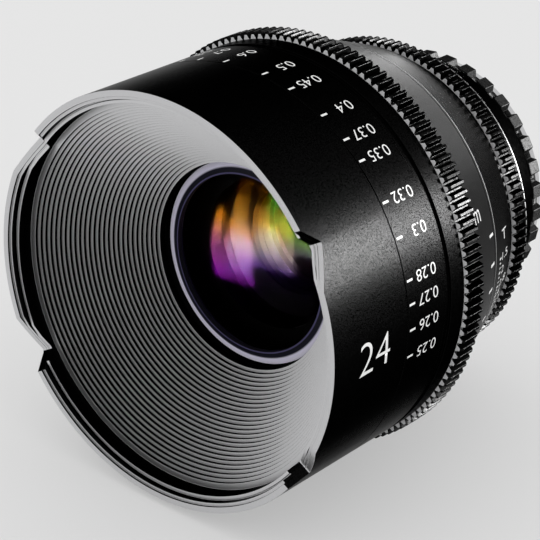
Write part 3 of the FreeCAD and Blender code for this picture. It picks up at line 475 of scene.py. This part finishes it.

# Focus gear: the 0.8 module ring that a follow focus or a motor drives.
# Its teeth are cut in aluminium and anodised black, their front faces carry a light grey painted highlight,
# and it is pressed on the focus ring.


def sector_copies():
    """Geometry Nodes tree that sets copies of one sector side by side around the optical axis."""
    tree = bpy.data.node_groups.new("sector_copies", "GeometryNodeTree")
    tree.interface.new_socket("Sector", in_out="INPUT", socket_type="NodeSocketGeometry")
    tree.interface.new_socket("Count", in_out="INPUT", socket_type="NodeSocketInt")
    tree.interface.new_socket("Finish", in_out="INPUT", socket_type="NodeSocketMaterial")
    tree.interface.new_socket("Ring", in_out="OUTPUT", socket_type="NodeSocketGeometry")
    inlet = tree.nodes.new("NodeGroupInput")
    outlet = tree.nodes.new("NodeGroupOutput")
    stations = tree.nodes.new("GeometryNodePoints")
    tree.links.new(inlet.outputs["Count"], stations.inputs["Count"])
    index = tree.nodes.new("GeometryNodeInputIndex")
    share = tree.nodes.new("ShaderNodeMath")
    share.operation = "DIVIDE"
    tree.links.new(index.outputs[0], share.inputs[0])
    tree.links.new(inlet.outputs["Count"], share.inputs[1])
    turn = tree.nodes.new("ShaderNodeMath")
    turn.operation = "MULTIPLY"
    turn.inputs[1].default_value = 2 * pi
    tree.links.new(share.outputs[0], turn.inputs[0])
    about_axis = tree.nodes.new("ShaderNodeCombineXYZ")
    tree.links.new(turn.outputs[0], about_axis.inputs["Y"])
    copies = tree.nodes.new("GeometryNodeInstanceOnPoints")
    tree.links.new(stations.outputs[0], copies.inputs["Points"])
    tree.links.new(inlet.outputs["Sector"], copies.inputs["Instance"])
    tree.links.new(about_axis.outputs[0], copies.inputs["Rotation"])
    real = tree.nodes.new("GeometryNodeRealizeInstances")
    tree.links.new(copies.outputs[0], real.inputs[0])
    joined = tree.nodes.new("GeometryNodeMergeByDistance")
    joined.inputs["Distance"].default_value = 0.000002
    tree.links.new(real.outputs[0], joined.inputs["Geometry"])
    finish = tree.nodes.new("GeometryNodeSetMaterial")
    tree.links.new(joined.outputs[0], finish.inputs["Geometry"])
    tree.links.new(inlet.outputs["Finish"], finish.inputs["Material"])
    tree.links.new(finish.outputs[0], outlet.inputs[0])
    return tree


copies_tree = sector_copies()


def around_axis(name, points, faces, count, materials, body, stands_for, ease, which=None):
    """Ring made of copies of one sector, as one plain mesh."""
    sector_mesh = bpy.data.meshes.new(name + "_sector")
    sector_mesh.from_pydata(points, [], faces)
    sector = bpy.data.objects.new(name + "_sector", sector_mesh)
    bpy.context.scene.collection.objects.link(sector)
    ring = sector.modifiers.new("ring", "NODES")
    ring.node_group = copies_tree
    sockets = {item.name: item.identifier for item in copies_tree.interface.items_tree
               if item.in_out == "INPUT"}
    ring[sockets["Count"]] = count
    ring[sockets["Finish"]] = materials[0]
    bpy.context.view_layer.update()
    mesh = bpy.data.meshes.new_from_object(sector.evaluated_get(bpy.context.evaluated_depsgraph_get()))
    bpy.data.objects.remove(sector)
    mesh.name = name
    mesh.materials.clear()
    ease_edges(fitted(mesh, materials, body, stands_for, which), ease)


def toothed(name, count, radii, shares, ends, chamfer, materials, body, stands_for, ease):
    """Toothed ring. radii are of the root, the tip and the bore, and shares are parts of a tooth's pitch."""
    root, tip, bore = radii
    root_share, tip_share = shares
    front, rear = ends
    pitch = 360 / count
    across = [(-0.5, 0), (-root_share / 2, 0), (-tip_share / 2, 1), (tip_share / 2, 1),
              (root_share / 2, 0), (0.5, 0)]
    levels = [(front, tip - chamfer), (front + chamfer, tip), (rear - chamfer, tip), (rear, tip - chamfer)]
    points = []
    for depth, crest in levels:
        points += [on_lens(crest if high else root, place * pitch, depth) for place, high in across]
    for depth in ends:
        points += [on_lens(bore, place * pitch, depth) for place, high in across]
    wide = len(across)
    front_bore = wide * len(levels)
    rear_bore = front_bore + wide
    last = wide * (len(levels) - 1)
    faces = []
    for side in range(wide - 1):
        for level in range(len(levels) - 1):
            low = level * wide + side
            faces.append((low, low + 1, low + wide + 1, low + wide))
        faces.append((front_bore + side, front_bore + side + 1, side + 1, side))
        faces.append((rear_bore + side, last + side, last + side + 1, rear_bore + side + 1))
        faces.append((front_bore + side, rear_bore + side, rear_bore + side + 1, front_bore + side + 1))
    around_axis(name, points, faces, count, materials, body, stands_for, ease,
                front_facing if len(materials) > 1 else None)


gear_shares = (0.78, 0.3)
gear_black = grained("gear_black", (0.007, 0.007, 0.007), 0.22, grain=0.3)
# Light grey painted highlight on the teeth's front faces.
tooth_painted_highlight = grained("tooth_painted_highlight", (0.66, 0.66, 0.67), 0.4, grain=0.1, edge=1.0, mottle=0.08,
                     grain_size=6000.0, metal=0.0)
toothed("focus_gear_looks", 145, (57.0, 58.8, 55.4), gear_shares, (54.1, 61.0), 0.6,
        [gear_black, tooth_painted_highlight], "focus_ring", ["focus_gear"], 0.1)

# Mid barrel: the fixed front half of the cone, with the index marks, in front of the iris ring.
# Turned aluminium, anodised satin black, with a thin painted highlight on its rear edge, screwed to the guide
# barrel's flange.
cone_start = 61.0
cone_taper = 0.34


def cone_radius(depth):
    """Radius of the cone that runs from the focus gear back to the iris gear."""
    return barrel_radius - cone_taper * (depth - cone_start)


line_floor = cone_radius(75.4) - 0.25
mid_profile = [(cone_radius(61.2), 61.2), (cone_radius(75.15), 75.15), (line_floor, 75.15),
               (line_floor, 75.4), (cone_radius(75.4), 75.4), (cone_radius(76.45), 76.45),
               (cone_radius(76.8), 76.8), (45.5, 76.8), (45.5, 74.7), (50.0, 74.7), (50.0, 61.2)]
cone_black = grained("cone_black", (0.005, 0.005, 0.005), 0.34, grain=0.9, edge=0.5, mottle=0.75,
                     grain_size=3000.0)


def painted_highlight_band(front, rear):
    """Chooser of materials: 1 for faces between two depths, which take a painted highlight, 0 elsewhere."""
    return lambda face: 1 if front < face.center.y * 1000 + flange_depth < rear else 0


# Lighter grey metal for thin bands at edges: a painted highlight line.
edge_painted_highlight = grained("edge_painted_highlight", (0.12, 0.12, 0.12), 0.4, grain=0.1, edge=0.9, mottle=0.1,
                    grain_size=6000.0)
turned("mid_barrel_looks", mid_profile, [cone_black, edge_painted_highlight], "barrel", ["mid_barrel"], 0.06,
       which=painted_highlight_band(76.45, 76.79))
index_marks = [(dash(3.0, 0.8), angle, 71.6, 1, 1) for angle in (-13.6, -4.6, 3.7, 13.4)]
index_marks.append((flat_words("m", 3.3, 0.95), -21.6, 62.7, 1, -1))
printed("index_marks", index_marks, cone_radius, "barrel")

# Iris ring: the rear half of the cone, which carries the T numbers and sets the aperture.
# Turned aluminium, anodised satin black, running on the rear barrel.
iris_profile = [(cone_radius(77.0), 77.0), (cone_radius(90.7), 90.7), (45.3, 90.7), (45.3, 93.6),
                (44.4, 93.6), (44.4, 98.9), (43.4, 98.9), (43.4, 77.0)]
iris_black = grained("iris_black", (0.005, 0.005, 0.005), 0.3, grain=0.9, edge=0.42, mottle=0.75,
                     grain_size=3000.0)
turned("iris_ring_looks", iris_profile, [iris_black], "iris_ring", ["iris_ring"])
stops = [("1.5", -2.9), ("2", 1.9), ("2.8", 6.8), ("4", 10.3), ("5.6", 14.2), ("8", 18.3), ("11", 22.6),
         ("16", 27.0), ("22", 31.4)]
aperture_marks = [(flat_words("T", 3.0, 1.5), -9.8, 82.4, 1, -1)]
for number, angle in stops:
    aperture_marks.append((flat_words(number, 2.3, 1.5), angle, 82.4, 1, -1))
    aperture_marks.append((dash(1.5, 0.6), angle, 80.0, 1, 1))
for (number, angle), (following, further) in zip(stops, stops[1:]):
    for third in (1, 2):
        aperture_marks.append((dash(1.1, 0.4), angle + (further - angle) * third / 3, 80.2, 1, 1))
printed("aperture_scale", aperture_marks, cone_radius, "iris_ring")

# Iris gear: the smaller drive ring of the same module, behind the T numbers.
# Its teeth are cut in aluminium and anodised black, their front faces carry a light grey painted highlight,
# and it is pressed on the iris ring.
toothed("iris_gear_looks", 116, (45.4, 47.2, 44.4), gear_shares, (93.6, 98.9), 0.6,
        [gear_black, tooth_painted_highlight], "iris_ring", ["iris_gear"], 0.1)

# Rear barrel and its stop ring: the smooth band behind the iris gear that carries the mount.
# Turned aluminium, anodised satin black, screwed to the guide barrel from inside.
# The stop ring's rear edge carries a thin painted highlight line.
turned("iris_stop_ring_looks", [(45.3, 99.1), (45.3, 100.6), (45.3, 101.0), (38.8, 101.0), (38.8, 99.1)],
       [satin_black, edge_painted_highlight], "barrel", ["iris_stop_ring"], which=painted_highlight_band(100.6, 100.9))
rear_profile = [(38.8, 99.1), (38.8, 113.5), (37.9, 115.3), (35.3, 115.3), (35.3, 119.7), (32.5, 119.7),
                (32.5, 100.45), (29.5, 100.45), (29.5, 97.95), (36.5, 97.95), (36.5, 94.35), (40.0, 94.35),
                (40.0, 72.0), (50.0, 72.0), (50.0, 74.7), (43.3, 74.7), (43.3, 99.1)]
turned("rear_barrel_looks", rear_profile, [satin_black], "barrel", ["rear_barrel"])

# Grip ring: 34 moulded rubber blocks that give a hold when the lens is twisted into the camera.
# One rubber band stretched over the end of the rear barrel.
grip_rubber = grained("grip_rubber", (0.02, 0.02, 0.02), 0.5)
toothed("grip_ring_looks", 34, (36.5, 38.3, 35.3), (0.72, 0.5), (115.3, 119.7), 0.2,
        [grip_rubber], "barrel", ["grip_ring"], 0.2)

# Inner parts and the mount: the cells, lock rings, cam sleeve, iris and screws keep their CAD shapes.
# Turned and blackened aluminium, brass where parts slide, blackened steel blades, and a ground steel mount.


def dress(material, *nodes):
    """Gives a CAD node one finish all over."""
    for node in nodes:
        for slot in frame["nodes"][node].material_slots:
            slot.material = material


def ground(name, colour, roughness, mottle=0.06):
    """Bare metal with a fine even surface."""
    return grained(name, colour, roughness, grain=0.1, edge=1.0, mottle=mottle, grain_size=6000.0)


mount_steel = ground("mount_steel", (0.60, 0.60, 0.61), 0.3)
screw_steel = ground("screw_steel", (0.45, 0.45, 0.46), 0.3)
blade_steel = ground("blade_steel", (0.05, 0.05, 0.055), 0.35, mottle=0.2)
cam_brass = ground("cam_brass", (0.55, 0.42, 0.18), 0.35, mottle=0.08)
inner_black = grained("inner_black", (0.004, 0.004, 0.004), 0.45, edge=0.05)
dress(mount_steel, "bayonet_mount")
dress(screw_steel, "mount_screws", "guide_barrel_screws", "barrel_screws", "focus_stop_pin",
      "follower_studs", "iris_drive_pin")
dress(cam_brass, "mount_shim", "follower_rollers", "cam_sleeve", "iris_drive_ring")
dress(inner_black, "rear_light_mask", "front_cell", "front_cell_lock_ring", "front_spacer", "guide_barrel",
      "cam_lock_ring", "focus_carriage", "focus_group_spacer", "focus_group_retainer", "iris_base_plate",
      "iris_lock_ring", "rear_cell", "rear_cell_lock_ring", "rear_spacers", "rear_element_retainer",
      "third_element_retainer")
dress(blade_steel, *["iris_blade_%02d" % number for number in range(1, 12)])

# Glass: ten elements, of which the front three show. Ground, polished and coated, with blackened rims.
# Each coating is a weak mirror whose tint turns from warm at its top to violet at its bottom, and three
# windows in front of the lens lie in every surface at another place. They light nothing but the glass.


def rising_tint(tree, height, tints):
    """Colour ramp over the height, its tints evenly spaced from the lowest to the highest."""
    ramp = tree.nodes.new("ShaderNodeValToRGB")
    while len(ramp.color_ramp.elements) < len(tints):
        ramp.color_ramp.elements.new(0.5)
    for index, colour in enumerate(tints):
        ramp.color_ramp.elements[index].position = index / (len(tints) - 1)
        ramp.color_ramp.elements[index].color = colour + (1,)
    tree.links.new(height, ramp.inputs["Fac"])
    return ramp.outputs["Color"]


def coated_glass(name, strength, front_tints, rear_tints, low, high):
    """Clear glass whose coatings mirror a little: one set of tints on its front, one on its rear, both
    rising over heights in mm. Flat seats outside the curved surfaces, and the rims, are left clear and mirror
    nothing."""
    material = bpy.data.materials.new(name)
    material.use_nodes = True
    tree = material.node_tree
    shader = tree.nodes["Principled BSDF"]
    shader.inputs["Metallic"].default_value = 1.0
    shader.inputs["Roughness"].default_value = 0.07
    shader.inputs["Specular Tint"].default_value = (0, 0, 0, 1)
    place = tree.nodes.new("ShaderNodeTexCoord")
    parts = tree.nodes.new("ShaderNodeSeparateXYZ")
    tree.links.new(place.outputs["Object"], parts.inputs[0])
    height = tree.nodes.new("ShaderNodeMapRange")
    height.inputs["From Min"].default_value = low / 1000
    height.inputs["From Max"].default_value = high / 1000
    tree.links.new(parts.outputs["Z"], height.inputs["Value"])
    side = tree.nodes.new("ShaderNodeNewGeometry")
    tint = tree.nodes.new("ShaderNodeMix")
    tint.data_type = "RGBA"
    tree.links.new(side.outputs["Backfacing"], tint.inputs["Factor"])
    tree.links.new(rising_tint(tree, height.outputs["Result"], front_tints), tint.inputs["A"])
    tree.links.new(rising_tint(tree, height.outputs["Result"], rear_tints), tint.inputs["B"])
    tree.links.new(tint.outputs["Result"], shader.inputs["Base Color"])
    slope = tree.nodes.new("ShaderNodeSeparateXYZ")
    tree.links.new(place.outputs["Normal"], slope.inputs[0])
    steep = tree.nodes.new("ShaderNodeMath")
    steep.operation = "ABSOLUTE"
    tree.links.new(slope.outputs["Y"], steep.inputs[0])
    coated = tree.nodes.new("ShaderNodeMath")
    coated.operation = "MULTIPLY"
    for socket, (operation, limit) in enumerate((("LESS_THAN", 0.9996), ("GREATER_THAN", 0.02))):
        within = tree.nodes.new("ShaderNodeMath")
        within.operation = operation
        within.inputs[1].default_value = limit
        tree.links.new(steep.outputs[0], within.inputs[0])
        tree.links.new(within.outputs[0], coated.inputs[socket])
    mirror = tree.nodes.new("ShaderNodeMapRange")
    mirror.inputs["To Max"].default_value = strength
    tree.links.new(coated.outputs[0], mirror.inputs["Value"])
    tree.links.new(mirror.outputs["Result"], shader.inputs["Alpha"])
    return material


front_coating = coated_glass(
    "front_coating", 0.002, [(0.06, 0.0, 0.12), (0.3, 0.02, 0.45), (0.6, 0.12, 0.4), (1.0, 0.36, 0.02)],
    [(0.1, 0.03, 0.5), (0.3, 0.15, 0.8), (0.8, 0.75, 0.95), (0.35, 0.17, 0.06)], -8, 13)
second_coating = coated_glass(
    "second_coating", 0.003, [(0.1, 0.03, 0.3), (0.5, 0.36, 0.32), (0.6, 0.26, 0.03), (0.03, 0.01, 0.0)],
    [(0.15, 0.08, 0.45), (0.6, 0.55, 0.4), (0.5, 0.4, 0.04), (0.05, 0.05, 0.0)], -3, 15)
third_coating = coated_glass(
    "third_coating", 0.003, [(0.2, 0.12, 0.3), (0.25, 0.5, 0.05), (0.05, 0.25, 0.02), (0.01, 0.05, 0.0)],
    [(0.1, 0.05, 0.2), (0.2, 0.4, 0.05)], -3, 15)
inner_tints = [(0.05, 0.02, 0.2), (0.1, 0.2, 0.05)]
inner_coating = coated_glass("inner_coating", 0.002, inner_tints, inner_tints, -8, 8)
dress(front_coating, "front_element")
dress(second_coating, "second_element")
dress(third_coating, "third_element")
dress(inner_coating, "fourth_element", "fifth_element", "sixth_element", "seventh_element", "eighth_element",
      "ninth_element", "tenth_element")
glass = bpy.data.collections.new("glass")
bpy.context.scene.collection.children.link(glass)
for node in ("front_element", "second_element", "third_element"):
    glass.objects.link(frame["nodes"][node])
for name, towards, width in (("left_window", (-0.80, -0.58, -0.2), 0.11),
                             ("middle_window", (-0.62, -0.77, -0.2), 0.12),
                             ("right_window", (-0.40, -0.90, -0.19), 0.13)):
    window = softbox(name, towards, distance=0.55, width=width, height=0.4, power=36.0, aim=(0, -0.09, 0))
    window.light_linking.receiver_collection = glass
    window.light_linking.blocker_collection = glass

# The right rear softbox leaves out the mount, which would shine white between the grip ring's blocks.
steel = bpy.data.collections.new("steel")
bpy.context.scene.collection.children.link(steel)
steel.objects.link(frame["nodes"]["bayonet_mount"])
steel.collection_objects[0].light_linking.link_state = "EXCLUDE"
right_rear.light_linking.receiver_collection = steel
